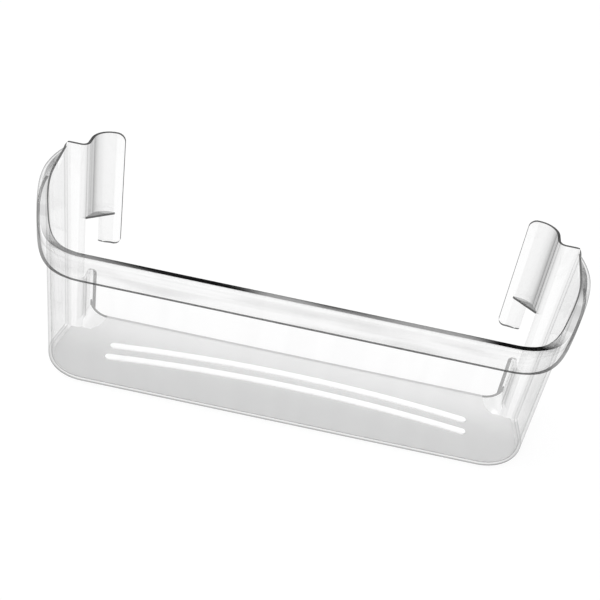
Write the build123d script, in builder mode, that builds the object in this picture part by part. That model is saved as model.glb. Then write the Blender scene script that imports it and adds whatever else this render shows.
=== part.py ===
from build123d import *
import math
import os

# Clear moulded door shelf. Millimetres; X across the door, Y back to the door, Z up.
# Everything is drawn from the front face of the two rear flanges (Y = 0) and from
# the underside of the floor (Z = 0), then set over the middle of its own box.

# Tub
body_width = 408.8  # outside the side walls at the flanges, at the floor
side_spread = 7.5  # degrees the side walls spread towards the front
front_reach = 67.2  # front wall ahead of the flanges, at the floor
corner_radius = 38.5  # front corners seen from above, at the floor
wall = 2.4
draft = 1.1  # degrees the walls lean out
sole_radius = 5.0  # rounding under the walls

# Rolled rim
rim_proud = 7.0  # skirt ahead of the wall
rim_front_height = 133.0
skirt_height = 21.0  # at the front
crown_radius = 3.4  # rounding of the rolled edge outside
brim_bevel = 1.2  # bevel of the same edge inside
post_rise = 53.5  # rear posts above the front of the rim
rise_start = 52.5  # where the rim's level line meets the steep line, ahead of the flange
knee_reach = 37.0  # where the steep line meets the shoulder line
shoulder_slope = 24.0  # degrees
rise_radius = 20.0
knee_radius = 44.0
hem_start = 57.0  # the same three for the skirt's lower edge
hem_knee_reach = 38.0
hem_slope = 30.0
tip_height = 11.0  # skirt left at the tip
tip_proud = 0.4  # skirt ahead of the wall at the tip
channel_end = 12.0  # hollow of the rim stops ahead of the flange

# Rear flanges and hooks
flange_inset = 15.75  # inner face of the return wall, in from the side of the tub
hook_reach = 31.4  # back of the hook tab behind the flange
tab_width = 21.2
tab_bend = 14.0
flange_bend = 6.5
tab_bottom = 79.0
tab_corner = 6.5
notch_depth = 26.5
notch_bottom = 55.0
notch_corner = 8.0
tongue_corner = 2.5
ledge_front_height = 117.5
ledge_slope = 16.0  # degrees, falling to the back
ledge_thickness = 2.0
ledge_width = 17.0
post_corner = 2.0  # inside the corner of side wall and flange

# Floor
floor_back_reach = 24.0  # floor behind the flange face
foot_radius = 15.0  # flare between floor and return wall at the back edge
foot_start_radius = 1.6  # the same at the flange
rib_length = 312.0
rib_width = 6.4
rib_height = 1.2
rib_bow = 10.5  # middle of each rib behind its ends
rib_reach = 15.4  # ends of the rear rib ahead of the flange
rib_pitch = 15.4


def lean(height):
    """Outward shift of a drafted wall at a height."""
    return height * math.tan(math.radians(draft))


def side(reach):
    """Half width over the side walls, at the floor, at a reach ahead of the flanges."""
    return half + reach * math.tan(math.radians(side_spread))


half = body_width / 2
big = 2 * body_width
corner_reach = front_reach - corner_radius
corner_x = side(corner_reach) - corner_radius / math.cos(math.radians(side_spread))
post_height = rim_front_height + post_rise
rim_front = front_reach + lean(rim_front_height) + rim_proud
rim_corner = corner_radius + lean(rim_front_height) + rim_proud
tip_half = half + lean(post_height) + tip_proud
knee_height = post_height - knee_reach * math.tan(math.radians(shoulder_slope))
hem_tip = post_height - tip_height
hem_knee = hem_tip - hem_knee_reach * math.tan(math.radians(hem_slope))
gap_half = half - flange_inset
tab_face = hook_reach - wall
seam = wall / 2  # the tub ends halfway into the flanges
ledge_fall = math.tan(math.radians(ledge_slope))
shift = (rim_front - hook_reach) / 2


def foot(reach):
    """Radius of the flare at a reach behind the flange, quick to grow at first."""
    return foot_start_radius + (foot_radius - foot_start_radius) * math.sqrt(
        1 - (1 - reach / floor_back_reach) ** 2
    )


def bend_plane(height):
    """Plane across the bend from the side wall into the flange, set on its axis at a height."""
    spread = math.radians(side_spread)
    rise = lean(1) / math.cos(spread)
    centre = half + (lean(height) - post_corner - wall) / math.cos(spread) + post_corner * math.tan(spread)
    return Plane(origin=(centre, -post_corner, height), x_dir=(1, 0, -rise), z_dir=(rise, 0, 1))


def below_line(level, start, knee, knee_level, tip, first_radius, second_radius):
    """Side-view region under a line: level at the front, steep, then a shoulder to the tip."""
    with BuildSketch(Plane.YZ) as region:
        with BuildLine():
            Polyline(
                (-big, level),
                (-start, level),
                (-knee, knee_level),
                (wall, tip),
                (big, tip),
                (big, -big),
                (-big, -big),
                close=True,
            )
        make_face()
        fillet(region.vertices().sort_by_distance((-start, level))[0], first_radius)
        fillet(region.vertices().sort_by_distance((-knee, knee_level))[0], second_radius)
    return region.sketch


crown_line = below_line(
    rim_front_height, rise_start, knee_reach, knee_height, post_height, rise_radius, knee_radius
)
hem_line = below_line(
    rim_front_height - skirt_height,
    hem_start,
    hem_knee_reach,
    hem_knee,
    hem_tip,
    rise_radius + rim_proud,
    knee_radius - rim_proud,
)

# Outer block of the tub, drafted, rounded underneath and running on to the back
with BuildPart() as hull:
    with BuildSketch() as hull_plan:
        with BuildLine():
            Polyline(
                (-side(front_reach), -front_reach),
                (side(front_reach), -front_reach),
                (side(-2 * hook_reach), 2 * hook_reach),
                (-side(-2 * hook_reach), 2 * hook_reach),
                close=True,
            )
        make_face()
        fillet(hull_plan.vertices().sort_by(Axis.Y)[:2], corner_radius)
    extrude(amount=post_height, taper=-draft)
    fillet(hull.faces().sort_by(Axis.Z)[0].edges().sort_by(Axis.Y)[:-1], sole_radius)

# Block of the rolled rim, from the skirt's lower edge up to the crown
with BuildPart() as band:
    with BuildSketch() as rim_plan:
        with BuildLine():
            Line((0, -rim_front), (corner_x, -rim_front))
            corner = CenterArc((corner_x, -corner_reach), rim_corner, -90, 90 + side_spread)
            flank = TangentArc(corner @ 1, (tip_half, -post_corner), tangent=corner % 1)
            Polyline(flank @ 1, (tip_half, seam), (0, seam), (0, -rim_front))
        make_face()
        mirror(about=Plane.YZ)
    extrude(amount=post_height)
    extrude(crown_line, amount=big, both=True, mode=Mode.INTERSECT)
    extrude(hem_line, amount=big, both=True, mode=Mode.SUBTRACT)
    crown_faces = band.faces().filter_by(lambda face: face.normal_at().Z > 0.3)
    crown_edges = ShapeList(edge for face in crown_faces for edge in face.edges())
    fillet(
        crown_edges.filter_by(
            lambda edge: sum(edge.is_same(other) for other in crown_edges) == 1
            and edge.center().Y < 0.9 * seam
        ),
        crown_radius,
    )

# Room inside the tub, drafted like the walls
with BuildPart() as room:
    with BuildSketch() as room_plan:
        add(hull_plan.sketch)
        offset(amount=-wall)
    extrude(amount=2 * post_height, taper=-draft)
    split(bisect_by=Plane.XY.offset(wall), keep=Keep.TOP)
    fillet(room.faces().sort_by(Axis.Z)[0].edges().sort_by(Axis.Y)[:-1], sole_radius - wall)

# Hollow of the rolled rim, open underneath
with BuildPart() as channel:
    with BuildSketch() as channel_plan:
        add(rim_plan.sketch)
        offset(amount=-wall)
    extrude(amount=post_height)
    extrude(offset(crown_line, amount=-wall), amount=big, both=True, mode=Mode.INTERSECT)
    split(bisect_by=Plane.XZ.offset(channel_end), keep=Keep.TOP)
    add(hull.part, mode=Mode.SUBTRACT)

# Left half of the tub with its rim, ribs on the floor
with BuildPart() as tub:
    add(hull.part)
    split(bisect_by=Plane.XZ.offset(-seam), keep=Keep.TOP)
    extrude(hem_line, amount=big, both=True, mode=Mode.INTERSECT)
    add(band.part)
    add(room.part, mode=Mode.SUBTRACT)
    split(bisect_by=Plane.YZ, keep=Keep.BOTTOM)
    brim = tub.edges().filter_by(
        lambda edge: edge.center().Z > rim_front_height - crown_radius
        and edge.center().Y < 0.9 * seam
        and room.part.distance_to(edge @ 0.5) < 0.01
    )
    chamfer(brim, brim_bevel)
    add(channel.part, mode=Mode.SUBTRACT)
    with BuildSketch(Plane.XY.offset(wall)):
        for reach in (rib_reach, rib_reach + rib_pitch):
            bow = ThreePointArc(
                (-rib_length / 2, -reach), (0, rib_bow - reach), (rib_length / 2, -reach), mode=Mode.PRIVATE
            )
            SlotArc(bow, rib_width)
    extrude(amount=rib_height)

# Right rear flange, return wall and hook tab, one bent sheet
with BuildPart() as hook:
    with BuildSketch() as sheet:
        with BuildLine():
            Polyline(
                (tip_half - wall, 0),
                (gap_half, 0),
                (gap_half, tab_face),
                (gap_half - tab_width, tab_face),
                (gap_half - tab_width, hook_reach),
                (gap_half + wall, hook_reach),
                (gap_half + wall, wall),
                (tip_half - wall, wall),
                close=True,
            )
        make_face()
        fillet(sheet.vertices().sort_by_distance((gap_half, 0))[0], flange_bend)
        fillet(sheet.vertices().sort_by_distance((gap_half + wall, wall))[0], flange_bend - wall)
        fillet(sheet.vertices().sort_by_distance((gap_half, tab_face))[0], tab_bend)
        fillet(sheet.vertices().sort_by_distance((gap_half + wall, hook_reach))[0], tab_bend + wall)
    extrude(amount=post_height)
    add(hull.part, mode=Mode.INTERSECT)
    # slot for the door's lug, open below the tab and behind the floor
    with BuildSketch(Plane.YZ) as slot:
        with BuildLine():
            Polyline(
                (wall, notch_bottom),
                (floor_back_reach, notch_bottom),
                (floor_back_reach, -wall),
                (2 * hook_reach, -wall),
                (2 * hook_reach, tab_bottom),
                (notch_depth, tab_bottom),
                (notch_depth, ledge_front_height - notch_depth * ledge_fall),
                (wall, ledge_front_height - wall * ledge_fall),
                close=True,
            )
        make_face()
        fillet(slot.vertices().sort_by_distance((floor_back_reach, notch_bottom))[0], notch_corner)
        fillet(slot.vertices().sort_by_distance((notch_depth, tab_bottom))[0], tongue_corner)
    extrude(amount=big, mode=Mode.SUBTRACT)
    with BuildSketch(Plane.XZ):
        with Locations((gap_half - tab_width, tab_bottom)):
            Rectangle(tab_corner, post_height - tab_bottom, align=Align.MIN)
            RectangleRounded(
                tab_width, post_height - tab_bottom, tab_corner, align=Align.MIN, mode=Mode.SUBTRACT
            )
    extrude(amount=-2 * hook_reach, mode=Mode.SUBTRACT)
    # ledge that sits on the lug, in the corner of return wall and tab
    with BuildPart(mode=Mode.PRIVATE) as ledge:
        with BuildSketch() as ledge_plan:
            with Locations((gap_half + wall / 2, hook_reach - wall / 2)):
                Rectangle(tab_width, hook_reach, align=(Align.MAX, Align.MAX))
            fillet(ledge_plan.vertices().sort_by(Axis.X)[-2:].sort_by(Axis.Y)[-1], tab_bend + wall / 2)
            with BuildLine():
                Polyline(
                    (gap_half + wall / 2, wall / 2),
                    (gap_half - ledge_width, hook_reach),
                    (gap_half - 2 * tab_width, hook_reach),
                    (gap_half - 2 * tab_width, -hook_reach),
                    (gap_half + wall / 2, -hook_reach),
                    close=True,
                )
            make_face(mode=Mode.SUBTRACT)
        extrude(amount=post_height)
        with BuildSketch(Plane.YZ):
            with BuildLine():
                Polyline(
                    (0, ledge_front_height),
                    (0, ledge_front_height + ledge_thickness),
                    (hook_reach, ledge_front_height + ledge_thickness - hook_reach * ledge_fall),
                    (hook_reach, ledge_front_height - hook_reach * ledge_fall),
                    close=True,
                )
            make_face()
        extrude(amount=big, mode=Mode.INTERSECT)
    add(ledge.part)

# Flare between the floor and the return wall, growing from the flange to the back edge
with BuildPart() as flare:
    for reach in (wall / 2, floor_back_reach / 6, floor_back_reach / 2, floor_back_reach):
        radius = foot(reach)
        with BuildSketch(Plane.XZ.offset(-reach)):
            with BuildLine():
                Polyline(
                    (gap_half - radius, wall),
                    (gap_half - radius, wall / 2),
                    (gap_half + wall / 2, wall / 2),
                    (gap_half + wall / 2, wall + radius),
                    (gap_half, wall + radius),
                )
                RadiusArc((gap_half, wall + radius), (gap_half - radius, wall), radius)
            make_face()
    loft()

# The same flare seen from below, one wall further out
with BuildPart() as keel:
    for reach in (wall, floor_back_reach / 6, floor_back_reach / 2, floor_back_reach):
        radius = foot(reach)
        with BuildSketch(Plane.XZ.offset(-reach)):
            with BuildLine():
                Polyline(
                    (gap_half - radius, 0),
                    (gap_half - radius, -wall),
                    (gap_half + wall + flange_bend, -wall),
                    (gap_half + wall + flange_bend, wall + radius),
                    (gap_half + wall, wall + radius),
                )
                RadiusArc((gap_half + wall, wall + radius), (gap_half - radius, 0), wall + radius)
            make_face()
    loft()

# Bend of the side wall into the flange: the rounded strip inside and the waste outside
with BuildPart() as strip:
    with BuildSketch(bend_plane(0.8 * wall)):
        with BuildLine():
            bend = CenterArc((0, 0), post_corner, side_spread, 90 - side_spread)
            Polyline(
                bend @ 1,
                (0, post_corner + seam),
                (post_corner + wall / 4, post_corner + seam),
                bend @ 0 + (wall / 4, 0),
                bend @ 0,
            )
        make_face()
    extrude(amount=2 * post_height)
    extrude(crown_line, amount=big, both=True, mode=Mode.INTERSECT)

with BuildPart() as waste:
    with BuildSketch(bend_plane(-wall)):
        with BuildLine():
            bend = CenterArc((0, 0), post_corner + wall, side_spread, 90 - side_spread)
            Polyline(
                bend @ 1,
                (0, post_corner + 2 * wall),
                (post_corner + wall + rim_proud, post_corner + 2 * wall),
                bend @ 0 + (rim_proud, 0),
                bend @ 0,
            )
        make_face()
    extrude(amount=2 * post_height)

# Right half of the moulding, then the whole
with BuildPart() as shelf:
    add(hook.part)
    add(flare.part)
    with BuildSketch():
        with Locations((0, -wall)):
            Rectangle(gap_half + wall, floor_back_reach + wall, align=Align.MIN)
    extrude(amount=wall)
    add(keel.part, mode=Mode.SUBTRACT)
    mirror(tub.part, about=Plane.YZ)
    add(strip.part)
    add(waste.part, mode=Mode.SUBTRACT)
    mirror(about=Plane.YZ)

with BuildPart() as door_shelf:
    with Locations((0, shift, 0)):
        add(shelf.part)

door_shelf.part.label = "door_shelf"
os.makedirs("parts", exist_ok=True)
export_step(door_shelf.part, "parts/door_shelf.step")
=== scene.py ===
"""Looks of a clear fridge door shelf, laid out as an add-on and run as a script."""

import math

import bmesh
import bpy
import numpy as np
from mathutils import Matrix, Vector


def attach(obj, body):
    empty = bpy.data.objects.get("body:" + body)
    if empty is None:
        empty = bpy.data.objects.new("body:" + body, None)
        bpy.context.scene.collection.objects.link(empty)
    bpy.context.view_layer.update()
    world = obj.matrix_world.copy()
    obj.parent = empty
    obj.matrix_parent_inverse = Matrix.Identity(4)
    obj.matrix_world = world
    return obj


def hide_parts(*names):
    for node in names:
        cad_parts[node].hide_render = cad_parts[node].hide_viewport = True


bl_info = {
    "name": "Clear fridge door shelf",
    "version": (1, 0, 0),
    "blender": (4, 5, 0),
    "location": "View3D > Sidebar > Door shelf",
    "description": "Dresses a one-piece clear door shelf and sets up its plain studio",
    "category": "Object",
}

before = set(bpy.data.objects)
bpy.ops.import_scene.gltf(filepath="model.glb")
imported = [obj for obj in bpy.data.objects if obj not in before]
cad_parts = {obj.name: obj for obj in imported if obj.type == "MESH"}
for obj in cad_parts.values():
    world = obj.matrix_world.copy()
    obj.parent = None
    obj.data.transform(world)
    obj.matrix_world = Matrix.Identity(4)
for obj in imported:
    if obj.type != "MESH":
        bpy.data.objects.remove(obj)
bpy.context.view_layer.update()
MM = 0.001

POLYSTYRENE_IOR = 1.59
# what a sheet of that index mirrors when seen face-on
HEAD_ON_GLOSS = ((POLYSTYRENE_IOR - 1) / (POLYSTYRENE_IOR + 1)) ** 2
# how fast the gloss grows as a sheet turns edge-on, and how much it blurs
GLOSS_POWER = 5.0
GLOSS_ROUGHNESS = 0.06
# the part of the noise over which a pale streak turns dark
STREAK_RANGE = (0.4, 0.62)

# sockets of a Mix node that blends colours
MIX_SHARE = 0
MIX_FIRST = 6
MIX_SECOND = 7
MIX_RESULT = 2

# limits of the upward part of a face's normal: 1 is level, 0 is upright
LEVEL_FACE = 0.99
LEDGE_SLOPE = 0.9
CROWN_SLOPE = 0.3
HOLLOW_SLOPE = 0.1
SKIRT_SLOPE = 0.008
# limit of the sideways part of the normal, which faces that run straight across the shelf lack
STRAIGHT_RUN = 0.02
# limits of a face's evenness: 1 is flat
CROWN_EVENNESS = 0.92
BEND_EVENNESS = 0.98
# how near a face lies to the height that it is looked for at
HEIGHT_SLACK = 0.02 * MM
# vertices nearer than this are one
MERGE_DISTANCE = 0.001 * MM

# the most clear sheets that one ray may pass
SHEETS_DEEP = 32
# in millimetres, as Blender's cameras count
SENSOR_WIDTH = 36


class ShelfFinishAndPaintedLight(bpy.types.PropertyGroup):
    """Where each finish of the moulding lies, and its colours, with the painted shade, reflection and
    glow of its edges, bends, crown, skirt and ribs.
    """

    floor_top: bpy.props.FloatProperty(
        name="Floor top",
        description="Height of the floor's grained upper face",
        default=2.4 * MM,
        unit="LENGTH",
        precision=4,
    )
    rib_top: bpy.props.FloatProperty(
        name="Rib top",
        description="Height of the ribs' upper faces",
        default=3.6 * MM,
        unit="LENGTH",
        precision=4,
    )
    edge_width: bpy.props.FloatProperty(
        name="Edge width",
        description="Faces narrower than this are trimmed edges and bevels",
        default=2.45 * MM,
        unit="LENGTH",
        precision=4,
    )
    sliver_width: bpy.props.FloatProperty(
        name="Sliver width",
        description="Faces narrower than this are too thin to be edges of their own",
        default=0.6 * MM,
        unit="LENGTH",
        precision=5,
    )
    edge_height: bpy.props.FloatProperty(
        name="Lowest edge",
        description="The dark trimmed edges and the skirt lie above this height, the back edge below",
        default=60 * MM,
        unit="LENGTH",
        precision=4,
    )
    back_edge: bpy.props.FloatProperty(
        name="Back edge",
        description="The floor's trimmed back edge lies behind this distance from the middle",
        default=46 * MM,
        unit="LENGTH",
        precision=4,
    )
    back_edge_width: bpy.props.FloatProperty(
        name="Back edge width",
        description="Faces of the back edge are narrower than this",
        default=2.695 * MM,
        unit="LENGTH",
        precision=5,
    )
    bend_width: bpy.props.FloatProperty(
        name="Bend width",
        description="Rounded faces of tub and rim narrower than this are bends and fillets",
        default=8 * MM,
        unit="LENGTH",
        precision=4,
    )
    hook_bend_width: bpy.props.FloatProperty(
        name="Hook bend width",
        description="Rounded faces of the hooks narrower than this are bends",
        default=20 * MM,
        unit="LENGTH",
        precision=4,
    )
    hook_front: bpy.props.FloatProperty(
        name="Hooks' front",
        description="The hooks lie behind this distance from the middle, the rim in front of it",
        default=20 * MM,
        unit="LENGTH",
        precision=4,
    )
    foot_height: bpy.props.FloatProperty(
        name="Foot height",
        description="Below this height the hooks' walls curve into the floor and stay clear",
        default=20 * MM,
        unit="LENGTH",
        precision=4,
    )
    ledge_height: bpy.props.FloatVectorProperty(
        name="Ledges",
        description="Lowest and highest point of the ledges inside the hooks",
        default=(105 * MM, 121 * MM),
        size=2,
        unit="LENGTH",
        precision=4,
    )
    hollow_end: bpy.props.FloatProperty(
        name="Hollow's end",
        description="Behind this distance from the middle the rim's lower faces close its hollow",
        default=4 * MM,
        unit="LENGTH",
        precision=4,
    )
    crown_height: bpy.props.FloatProperty(
        name="Crown height",
        description="The rim's crown lies above this height",
        default=125 * MM,
        unit="LENGTH",
        precision=4,
    )
    crown_back: bpy.props.FloatProperty(
        name="Crown's back end",
        description="The rim's crown lies in front of this distance from the middle",
        default=12 * MM,
        unit="LENGTH",
        precision=4,
    )
    # painted reflection: the second of the walls' tints, and the streaks below, are soft reflections of
    # the room painted into the walls
    wall_tints: bpy.props.StringProperty(
        name="Walls",
        description="Wall seen face-on, its flow marks and edge-on, sRGB hex",
        default="FFFFFF FEFEFE E2E2E2",
    )
    wall_reflection_streaks: bpy.props.FloatVectorProperty(
        name="Walls' flow marks",
        description="Size of one flow mark of the walls along each axis",
        default=(14 * MM, 14 * MM, 150 * MM),
        subtype="XYZ",
        unit="LENGTH",
        precision=4,
    )
    # painted shade: the bends grey towards their outline
    bend_shade_tints: bpy.props.StringProperty(
        name="Bends",
        description="Bend seen face-on and edge-on, sRGB hex",
        default="FCFCFC 545454",
    )
    # painted shade: trimmed edges are dark lines
    edge_shade_tints: bpy.props.StringProperty(
        name="Edges",
        description="Trimmed edge seen face-on and edge-on, sRGB hex",
        default="848484 141414",
    )
    # painted shade: the back edge is a pale grey line
    back_edge_shade_tints: bpy.props.StringProperty(
        name="Back edge's tints",
        description="Back edge seen face-on and edge-on, sRGB hex",
        default="A4A4A4 707070",
    )
    # painted shade and painted reflection: the skirt's faint grey and its long level streaks
    skirt_reflection_tints: bpy.props.StringProperty(
        name="Skirt",
        description="Rim's skirt seen face-on, its flow marks and edge-on, sRGB hex",
        default="FEFEFE F5F5F5 E2E2E2",
    )
    skirt_reflection_streaks: bpy.props.FloatVectorProperty(
        name="Skirt's flow marks",
        description="Size of one flow mark of the skirt along each axis",
        default=(80 * MM, 80 * MM, 9 * MM),
        subtype="XYZ",
        unit="LENGTH",
        precision=4,
    )
    # painted reflection: the crown's dark stretches are the dark room mirrored in it, painted on
    crown_reflection_tints: bpy.props.StringProperty(
        name="Crown",
        description="Crown's pale and dark stretches and edge-on, sRGB hex",
        default="F0F0F0 1C1C1C 040404",
    )
    crown_reflection_stretches: bpy.props.FloatVectorProperty(
        name="Crown's stretches",
        description="Size of one pale or dark stretch of the crown along each axis",
        default=(90 * MM, 30 * MM, 60 * MM),
        subtype="XYZ",
        unit="LENGTH",
        precision=4,
    )
    # where the painted reflection's dark stretches fall along the crown
    crown_reflection_slide: bpy.props.FloatProperty(
        name="Crown's slide",
        description="How far the crown's stretches are slid to the right",
        default=38 * MM,
        unit="LENGTH",
        precision=4,
    )
    grained_tints: bpy.props.StringProperty(
        name="Grained floor",
        description="Floor at its front and at its back, sRGB hex",
        default="B8B8B8 E6E6E6",
    )
    grained_reach: bpy.props.FloatVectorProperty(
        name="Grained floor's reach",
        description="Where the floor's tint starts and ends to pale, from front to back",
        default=(-15 * MM, 42 * MM),
        size=2,
        unit="LENGTH",
        precision=4,
    )
    grain_size: bpy.props.FloatProperty(
        name="Grain",
        description="Width of one grain of the floor's texture",
        default=0.9 * MM,
        unit="LENGTH",
        precision=5,
    )
    # painted light: the ribs are painted white and glow a little
    rib_glow_colour: bpy.props.StringProperty(
        name="Ribs",
        description="Tint of the floor's ribs, sRGB hex",
        default="FFFFFF",
    )


class ShelfStudio(bpy.types.PropertyGroup):
    """Floor, light and camera of the studio."""

    backdrop_colour: bpy.props.StringProperty(
        name="Backdrop",
        description="Colour of floor and surround, sRGB hex",
        default="FFFFFF",
    )
    floor_reach: bpy.props.FloatProperty(
        name="Floor's reach",
        description="How far the floor runs from the middle to each side",
        default=6.0,
        unit="LENGTH",
    )
    floor_drop: bpy.props.FloatProperty(
        name="Floor's drop",
        description="How far the floor lies under the shelf, so that the two don't touch",
        default=0.5 * MM,
        unit="LENGTH",
        precision=5,
    )
    floor_glow: bpy.props.FloatProperty(
        name="Floor's glow",
        description="Share of the floor's white that it gives by itself",
        default=0.8,
        subtype="FACTOR",
    )
    ceiling_colour: bpy.props.StringProperty(
        name="Ceiling",
        description="Colour of the unlit room above, sRGB hex",
        default="3A3B3D",
    )
    ceiling_rise: bpy.props.FloatVectorProperty(
        name="Ceiling's rise",
        description="Upward part of the directions where the room starts to darken and where it is dark",
        default=(0.12, 0.42),
        size=2,
    )
    daylight: bpy.props.FloatProperty(
        name="Daylight",
        description="Strength of the soft light from above",
        default=3.9,
    )
    daylight_from: bpy.props.FloatVectorProperty(
        name="Daylight from",
        description="Direction that the light comes from",
        default=(-0.5, -0.4, 0.9),
        subtype="DIRECTION",
    )
    daylight_spread: bpy.props.FloatProperty(
        name="Daylight's spread",
        description="Width of the light as the shelf sees it",
        default=math.radians(100),
        subtype="ANGLE",
    )
    lens: bpy.props.FloatProperty(
        name="Lens",
        description="Focal length for a 36 mm wide sensor",
        default=63.0,
        unit="CAMERA",
    )
    stand: bpy.props.FloatVectorProperty(
        name="Stand",
        description="Where the camera stands",
        default=(0.03115, -0.69181, 0.60622),
        subtype="TRANSLATION",
        unit="LENGTH",
    )
    look_down: bpy.props.FloatProperty(
        name="Look down",
        description="Camera's pitch",
        default=math.radians(35.916),
        subtype="ANGLE",
    )
    heading: bpy.props.FloatProperty(
        name="Heading",
        description="Camera's turn about the vertical",
        default=math.radians(-0.756),
        subtype="ANGLE",
    )
    tilt: bpy.props.FloatProperty(
        name="Tilt",
        description="Camera's roll",
        default=math.radians(11.462),
        subtype="ANGLE",
    )
    shift: bpy.props.FloatProperty(
        name="Shift",
        description="Sideways shift of the frame, in frame widths",
        default=-0.05,
    )


def linear(code):
    """sRGB hex to linear red, green, blue and alpha."""
    srgb = np.array([int(code[i : i + 2], 16) for i in (0, 2, 4)]) / 255
    low = srgb <= 0.04045
    return (*np.where(low, srgb / 12.92, ((srgb + 0.055) / 1.055) ** 2.4), 1.0)


def tints(codes):
    """The linear colours of a row of sRGB hex codes."""
    return [linear(code) for code in codes.split()]


def add_node(tree, kind, settings=None, inputs=None):
    """Adds a node, sets its properties, and gives each input a value or a link from a socket."""
    node = tree.nodes.new(kind)
    for key, value in (settings or {}).items():
        setattr(node, key, value)
    for key, source in (inputs or {}).items():
        if isinstance(source, bpy.types.NodeSocket):
            tree.links.new(source, node.inputs[key])
        else:
            node.inputs[key].default_value = source
    return node


def power(tree, base, exponent):
    """A socket's number raised to a power."""
    node = add_node(tree, "ShaderNodeMath", {"operation": "POWER"}, {0: base, 1: exponent})
    return node.outputs[0]


def smooth_step(tree, number, start, end):
    """A share that grows smoothly from 0 to 1 as a number goes from start to end."""
    node = add_node(
        tree,
        "ShaderNodeMapRange",
        {"interpolation_type": "SMOOTHSTEP"},
        {"Value": number, "From Min": start, "From Max": end},
    )
    return node.outputs[0]


def blend(tree, share, first, second):
    """A colour that goes from the first to the second as the share goes from 0 to 1."""
    node = add_node(
        tree,
        "ShaderNodeMix",
        {"data_type": "RGBA"},
        {MIX_SHARE: share, MIX_FIRST: first, MIX_SECOND: second},
    )
    return node.outputs[MIX_RESULT]


def new_material(name):
    """An empty node material and its tree."""
    material = bpy.data.materials.new(name)
    material.use_nodes = True
    material.node_tree.nodes.clear()
    return material, material.node_tree


def streaks(tree, size, pale, dark, slide=0.0):
    """A colour that drifts between two tints in soft streaks, each about as large as size, in metres.
    The pattern is slid to the right by slide."""
    place = add_node(tree, "ShaderNodeTexCoord")
    spread = add_node(
        tree,
        "ShaderNodeMapping",
        inputs={
            "Vector": place.outputs["Object"],
            "Location": (-slide / size[0], 0, 0),
            "Scale": [1 / length for length in size],
        },
    )
    drift = add_node(
        tree,
        "ShaderNodeTexNoise",
        inputs={"Vector": spread.outputs[0], "Scale": 1.0, "Detail": 1.0, "Roughness": 0.4},
    )
    return blend(tree, smooth_step(tree, drift.outputs["Fac"], *STREAK_RANGE), pale, dark)


def clear_sheet(tree, face_on, edge_on, falloff, sheen):
    """A thin clear sheet. Light passes straight on and dims from one tint to another as the sheet turns
    edge-on, by the turn to the power falloff; the dimming is painted shade for light that the real sheet
    bends away. The gloss grows to sheen with the fifth power of the turn, as on glass."""
    turn = add_node(tree, "ShaderNodeLayerWeight", inputs={"Blend": 0.5}).outputs["Facing"]
    tint = blend(tree, power(tree, turn, falloff), face_on, edge_on)
    through = add_node(tree, "ShaderNodeBsdfTransparent", inputs={"Color": tint})
    glare = add_node(
        tree,
        "ShaderNodeMapRange",
        inputs={"Value": power(tree, turn, GLOSS_POWER), "To Min": HEAD_ON_GLOSS, "To Max": sheen},
    )
    gloss = add_node(tree, "ShaderNodeBsdfGlossy", inputs={"Roughness": GLOSS_ROUGHNESS})
    joined = add_node(
        tree,
        "ShaderNodeMixShader",
        inputs={0: glare.outputs[0], 1: through.outputs[0], 2: gloss.outputs[0]},
    )
    add_node(tree, "ShaderNodeOutputMaterial", inputs={"Surface": joined.outputs[0]})


def polished_polystyrene(finish):
    """Clear polystyrene from a polished mould: glassy walls with faint upright streaks of painted
    reflection.
    """
    material, tree = new_material("clear_polystyrene_polished")
    pale, painted_reflection, edge_on = tints(finish.wall_tints)
    face_on = streaks(tree, finish.wall_reflection_streaks, pale, painted_reflection)
    clear_sheet(tree, face_on, edge_on, falloff=5.0, sheen=0.5)
    return material


def bends_painted_shade(finish):
    """The same sheet where it bends: painted shade greys it softly towards its outline, for the light
    that the real bend refracts away.
    """
    material, tree = new_material("clear_polystyrene_bends_painted_shade")
    face_on, edge_on = tints(finish.bend_shade_tints)
    clear_sheet(tree, face_on, edge_on, falloff=2.0, sheen=0.3)
    return material


def edges_painted_shade(finish):
    """Trimmed edges and bevels, painted as dark lines: the painted shade stands in for light that runs
    along inside the real sheet.
    """
    material, tree = new_material("clear_polystyrene_edges_painted_shade")
    face_on, edge_on = tints(finish.edge_shade_tints)
    clear_sheet(tree, face_on, edge_on, falloff=1.1, sheen=0.2)
    return material


def back_edge_painted_shade(finish):
    """The floor's trimmed back edge, with bright walls all round it: painted shade makes it a pale grey
    line.
    """
    material, tree = new_material("clear_polystyrene_back_edge_painted_shade")
    face_on, edge_on = tints(finish.back_edge_shade_tints)
    clear_sheet(tree, face_on, edge_on, falloff=1.1, sheen=0.2)
    return material


def skirt_painted_reflection(finish):
    """The rim's skirt: a faint grey of painted shade with long level streaks of painted reflection."""
    material, tree = new_material("clear_polystyrene_skirt_painted_reflection")
    pale, painted_reflection, edge_on = tints(finish.skirt_reflection_tints)
    face_on = streaks(tree, finish.skirt_reflection_streaks, pale, painted_reflection)
    clear_sheet(tree, face_on, edge_on, falloff=5.0, sheen=0.5)
    return material


def crown_painted_reflection(finish):
    """The rim's rolled crown, with the dark of the room painted on it as a reflection, in long soft
    stretches.
    """
    material, tree = new_material("clear_polystyrene_crown_painted_reflection")
    pale, dark, edge_on = tints(finish.crown_reflection_tints)
    face_on = streaks(tree, finish.crown_reflection_stretches, pale, dark, finish.crown_reflection_slide)
    clear_sheet(tree, face_on, edge_on, falloff=0.6, sheen=0.2)
    return material


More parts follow.
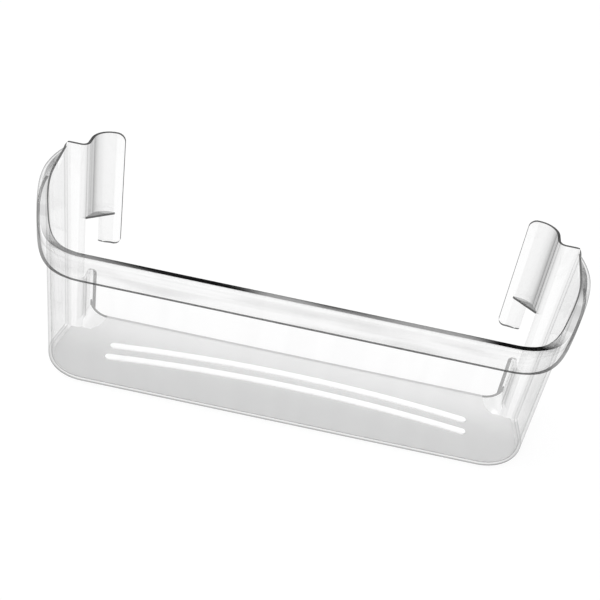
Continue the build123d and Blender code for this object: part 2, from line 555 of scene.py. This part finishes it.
def grained_polystyrene(finish):
    """Clear polystyrene from a spark-grained mould: a soft grey haze with a fine grain in it,
    paler towards the back."""
    material, tree = new_material("clear_polystyrene_grained")
    place = add_node(tree, "ShaderNodeTexCoord").outputs["Object"]
    depth = add_node(tree, "ShaderNodeSeparateXYZ", inputs={0: place}).outputs["Y"]
    tint = blend(tree, smooth_step(tree, depth, *finish.grained_reach), *tints(finish.grained_tints))
    # real grain is about 0.1 mm; it is drawn coarser so that it shows
    grain = add_node(
        tree,
        "ShaderNodeTexNoise",
        inputs={"Vector": place, "Scale": 1 / finish.grain_size, "Detail": 2.0, "Roughness": 0.6},
    )
    bump = add_node(
        tree,
        "ShaderNodeBump",
        inputs={"Height": grain.outputs["Fac"], "Strength": 0.25, "Distance": 0.2 * MM},
    )
    surface = add_node(
        tree,
        "ShaderNodeBsdfPrincipled",
        inputs={
            "Base Color": tint,
            "Normal": bump.outputs["Normal"],
            "Roughness": 0.42,
            "IOR": POLYSTYRENE_IOR,
            "Alpha": 0.55,
        },
    )
    add_node(tree, "ShaderNodeOutputMaterial", inputs={"Surface": surface.outputs[0]})
    return material


def ribs_painted_glow(finish):
    """The floor's smooth ribs, painted white with a faint painted glow, for the light that runs inside
    the floor and leaves at them.
    """
    material, tree = new_material("clear_polystyrene_ribs_painted_glow")
    white = linear(finish.rib_glow_colour)
    surface = add_node(
        tree,
        "ShaderNodeBsdfPrincipled",
        inputs={
            "Base Color": white,
            "Roughness": 0.3,
            "IOR": POLYSTYRENE_IOR,
            "Alpha": 0.9,
            # painted glow: the ribs give light of their own though they are no lamp
            "Emission Color": white,
            "Emission Strength": 0.12,
        },
    )
    add_node(tree, "ShaderNodeOutputMaterial", inputs={"Surface": surface.outputs[0]})
    return material


# the material of each kind of face: the mould's finish, with painted shade, reflection or glow on most of
# them
FINISHES_AND_PAINTED_LIGHT = {
    "wall": polished_polystyrene,
    "bend": bends_painted_shade,
    "edge": edges_painted_shade,
    "crown": crown_painted_reflection,
    "floor": grained_polystyrene,
    "back edge": back_edge_painted_shade,
    "skirt": skirt_painted_reflection,
    "rib": ribs_painted_glow,
}


def numbers(items, key, width, kind=np.float64):
    """One property of every mesh item, as an array with a row for each."""
    values = np.zeros(width * len(items), dtype=kind)
    items.foreach_get(key, values)
    return values.reshape(-1, width)


def solid_faces(mesh):
    """The number of the solid's face that each triangle lies in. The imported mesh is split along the
    solid's edges, so each vertex takes the lowest number that it can reach along the mesh's edges."""
    ends = numbers(mesh.edges, "vertices", 2, np.int32)
    label = np.arange(len(mesh.vertices))
    settled = False
    while not settled:
        found = label.copy()
        np.minimum.at(found, ends.ravel(), label[ends].min(axis=1).repeat(2))
        found = found[found]
        settled = (found == label).all()
        label = found
    first = numbers(mesh.polygons, "loop_start", 1, np.int32)[:, 0]
    return label[numbers(mesh.loops, "vertex_index", 1, np.int32)[first, 0]]


def face_shapes(mesh):
    """For each triangle, two measures of the solid's face that it lies in: the mean width, which is
    twice the area over the outline's length, and the evenness, which is the length of the mean normal,
    1 if flat."""
    face = solid_faces(mesh)
    total = face.max() + 1
    ends = numbers(mesh.edges, "vertices", 2, np.int32)
    edge = numbers(mesh.loops, "edge_index", 1, np.int32)[:, 0]
    points = numbers(mesh.vertices, "co", 3)
    length = np.linalg.norm(points[ends[:, 0]] - points[ends[:, 1]], axis=1)
    border = np.bincount(edge, minlength=len(ends)) == 1
    outline = np.bincount(face.repeat(3), (length * border)[edge], total)
    areas = numbers(mesh.polygons, "area", 1)
    area = np.bincount(face, areas[:, 0], total)
    lean = areas * numbers(mesh.polygons, "normal", 3)
    mean = np.stack([np.bincount(face, part, total) for part in lean.T], axis=1)
    return 2 * area[face] / outline[face], np.linalg.norm(mean, axis=1)[face] / area[face]


def face_kinds(mesh, finish):
    """The triangles of each kind of face, told by where they lie, how they lean, and how wide and even
    the solid's face is. Where two kinds claim a triangle, the one named first has it, and what none
    claims is wall."""
    width, evenness = face_shapes(mesh)
    _, back, height = numbers(mesh.polygons, "center", 3).T
    sideways, _, upward = numbers(mesh.polygons, "normal", 3).T
    straight = np.abs(sideways) < STRAIGHT_RUN
    level = upward > LEVEL_FACE
    hooks = back > finish.hook_front
    high = height > finish.edge_height
    hollow = straight & ~hooks & (upward < HOLLOW_SLOPE) & (back > finish.hollow_end)

    crown = straight & (upward > CROWN_SLOPE) & (evenness > CROWN_EVENNESS)
    crown &= (height > finish.crown_height) & (back < finish.crown_back)
    narrow = (width > finish.sliver_width) & (width < finish.edge_width)
    back_edge = ~high & (back > finish.back_edge) & (width < finish.back_edge_width)
    skirt = high & ~hooks & ~hollow & (np.abs(upward) < SKIRT_SLOPE)

    widest = np.where(hooks, finish.hook_bend_width, finish.bend_width)
    bends = (evenness < BEND_EVENNESS) & (width < widest) & (~hooks | (height > finish.foot_height))
    lowest, highest = finish.ledge_height
    ledges = hooks & (height > lowest) & (height < highest) & (np.abs(upward) > LEDGE_SLOPE)
    return {
        "floor": level & (np.abs(height - finish.floor_top) < HEIGHT_SLACK),
        "rib": level & (np.abs(height - finish.rib_top) < HEIGHT_SLACK),
        "crown": crown,
        "edge": high & narrow & ~hollow & ~ledges,
        "back edge": back_edge,
        "skirt": skirt,
        "bend": bends | ledges,
    }


def merge(mesh):
    """Joins the mesh along the solid's edges and keeps each corner's normal as packed."""
    kept = mesh.attributes.new("packed_normal", "FLOAT_VECTOR", "CORNER")
    kept.data.foreach_set("vector", numbers(mesh.corner_normals, "vector", 3).ravel())
    whole = bmesh.new()
    whole.from_mesh(mesh)
    bmesh.ops.remove_doubles(whole, verts=whole.verts, dist=MERGE_DISTANCE)
    whole.to_mesh(mesh)
    whole.free()
    kept = mesh.attributes["packed_normal"]
    normals = numbers(kept.data, "vector", 3)
    mesh.attributes.remove(kept)
    mesh.normals_split_custom_set(normals)


class DressMoulding(bpy.types.Operator):
    """Shows the moulding from a merged copy of its solid, with a finish and painted light for each kind
    of face
    """

    bl_idname = "door_shelf.dress_moulding"
    bl_label = "Moulding"

    def execute(self, context):
        finish = context.scene.shelf_finish
        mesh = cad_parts["door_shelf"].data.copy()
        mesh.name = "shelf_moulding"
        piece = bpy.data.objects.new("shelf_moulding", mesh)
        context.scene.collection.objects.link(piece)
        mesh.materials.clear()
        for make in FINISHES_AND_PAINTED_LIGHT.values():
            mesh.materials.append(make(finish))

        found = face_kinds(mesh, finish)
        for kind, faces in found.items():
            if not faces.any():
                raise RuntimeError(f"no face of this kind was found: {kind}")
        order = list(FINISHES_AND_PAINTED_LIGHT)
        slots = [order.index(kind) for kind in found]
        chosen = np.select(list(found.values()), slots, order.index("wall"))
        mesh.polygons.foreach_set("material_index", chosen.astype(np.int32))
        merge(mesh)
        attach(piece, "root")
        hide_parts("door_shelf")
        return {"FINISHED"}


def white_paper(studio):
    """White paper that takes the shelf's soft shadow. To the camera, and mirrored in the shelf, part of
    it glows, so that it is as white as the surround."""
    material, tree = new_material("white_paper_sweep")
    white = linear(studio.backdrop_colour)
    path = add_node(tree, "ShaderNodeLightPath")
    seen = add_node(
        tree,
        "ShaderNodeMath",
        {"operation": "MAXIMUM"},
        {0: path.outputs["Is Camera Ray"], 1: path.outputs["Is Glossy Ray"]},
    )
    share = add_node(
        tree,
        "ShaderNodeMath",
        {"operation": "MULTIPLY"},
        {0: seen.outputs[0], 1: studio.floor_glow},
    )
    paper = add_node(tree, "ShaderNodeBsdfDiffuse", inputs={"Color": white})
    glow = add_node(tree, "ShaderNodeEmission", inputs={"Color": white, "Strength": 1.0})
    mixed = add_node(
        tree,
        "ShaderNodeMixShader",
        inputs={0: share.outputs[0], 1: paper.outputs[0], 2: glow.outputs[0]},
    )
    add_node(tree, "ShaderNodeOutputMaterial", inputs={"Surface": mixed.outputs[0]})
    return material


def lay_floor(scene, studio):
    """A flat sheet of paper just under the shelf."""
    reach = studio.floor_reach
    corners = [(-reach, -reach), (reach, -reach), (reach, reach), (-reach, reach)]
    ground = bpy.data.meshes.new("floor")
    ground.from_pydata([(x, y, -studio.floor_drop) for x, y in corners], [], [(0, 1, 2, 3)])
    ground.materials.append(white_paper(studio))
    floor = bpy.data.objects.new("floor", ground)
    scene.collection.objects.link(floor)
    return floor


def surround(scene, studio):
    """A room that is white round the horizon and dark overhead, for the shelf to mirror. The camera sees
    plain white."""
    white = linear(studio.backdrop_colour)
    dark = linear(studio.ceiling_colour)
    world = bpy.data.worlds.new("studio")
    scene.world = world
    world.use_nodes = True
    tree = world.node_tree
    tree.nodes.clear()
    ray = add_node(tree, "ShaderNodeTexCoord").outputs["Generated"]
    height = add_node(tree, "ShaderNodeSeparateXYZ", inputs={0: ray}).outputs["Z"]
    room = blend(tree, smooth_step(tree, height, *studio.ceiling_rise), white, dark)
    around = add_node(tree, "ShaderNodeBackground", inputs={"Color": room, "Strength": 1.0})
    behind = add_node(tree, "ShaderNodeBackground", inputs={"Color": white, "Strength": 1.0})
    path = add_node(tree, "ShaderNodeLightPath")
    both = add_node(
        tree,
        "ShaderNodeMixShader",
        inputs={0: path.outputs["Is Camera Ray"], 1: around.outputs[0], 2: behind.outputs[0]},
    )
    add_node(tree, "ShaderNodeOutputWorld", inputs={"Surface": both.outputs[0]})


def hang_daylight(scene, studio):
    """One broad soft light from above."""
    lamp = bpy.data.lights.new("daylight", "SUN")
    lamp.angle = studio.daylight_spread
    lamp.energy = studio.daylight
    light = bpy.data.objects.new("daylight", lamp)
    light.rotation_mode = "QUATERNION"
    light.rotation_quaternion = (-Vector(studio.daylight_from)).to_track_quat("-Z", "Y")
    scene.collection.objects.link(light)


def stand_camera(scene, studio):
    """The camera of the picture. It is turned about the vertical, then pitched, then rolled."""
    # right, down and ahead of a camera that looks along +Y
    level = Matrix(((1, 0, 0), (0, 0, -1), (0, 1, 0)))
    turn = (
        Matrix.Rotation(studio.tilt, 3, "Z")
        @ Matrix.Rotation(studio.look_down, 3, "X")
        @ level
        @ Matrix.Rotation(studio.heading, 3, "Z")
    )
    right, down, ahead = turn.row
    lens = bpy.data.cameras.new("camera")
    lens.lens = studio.lens
    lens.sensor_width = SENSOR_WIDTH
    lens.shift_x = studio.shift
    camera = bpy.data.objects.new("camera", lens)
    scene.collection.objects.link(camera)
    axes = Matrix((right, -down, -ahead)).transposed()
    camera.matrix_world = Matrix.Translation(studio.stand) @ axes.to_4x4()
    scene.camera = camera


class SetStage(bpy.types.Operator):
    """Lays the white floor, lights the studio and stands the camera where the picture was taken"""

    bl_idname = "door_shelf.set_stage"
    bl_label = "Stage"

    def execute(self, context):
        scene = context.scene
        studio = scene.shelf_studio
        scene.view_settings.view_transform = "Standard"
        scene.cycles.transparent_max_bounces = SHEETS_DEEP
        floor = lay_floor(scene, studio)
        surround(scene, studio)
        hang_daylight(scene, studio)
        stand_camera(scene, studio)
        return {"FINISHED"}


class ShelfPanel(bpy.types.Panel):
    """Lists the pieces and the stage"""

    bl_idname = "VIEW3D_PT_door_shelf"
    bl_label = "Door shelf"
    bl_space_type = "VIEW_3D"
    bl_region_type = "UI"
    bl_category = "Door shelf"

    def draw(self, context):
        for operator in (DressMoulding, SetStage):
            self.layout.operator(operator.bl_idname)
        for group in (context.scene.shelf_finish, context.scene.shelf_studio):
            for name in group.bl_rna.properties.keys():
                if name not in ("rna_type", "name"):
                    self.layout.prop(group, name)


CLASSES = (ShelfFinishAndPaintedLight, ShelfStudio, DressMoulding, SetStage, ShelfPanel)


def register():
    """Registers the classes and hangs the two groups of properties on the scene."""
    for cls in CLASSES:
        bpy.utils.register_class(cls)
    bpy.types.Scene.shelf_finish = bpy.props.PointerProperty(type=ShelfFinishAndPaintedLight)
    bpy.types.Scene.shelf_studio = bpy.props.PointerProperty(type=ShelfStudio)


def unregister():
    """Takes back what register did, in reverse order."""
    del bpy.types.Scene.shelf_studio
    del bpy.types.Scene.shelf_finish
    for cls in reversed(CLASSES):
        bpy.utils.unregister_class(cls)


def main():
    """Registers the add-on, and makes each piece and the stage."""
    register()
    bpy.ops.door_shelf.dress_moulding()
    bpy.ops.door_shelf.set_stage()


if __name__ == "__main__":
    main()
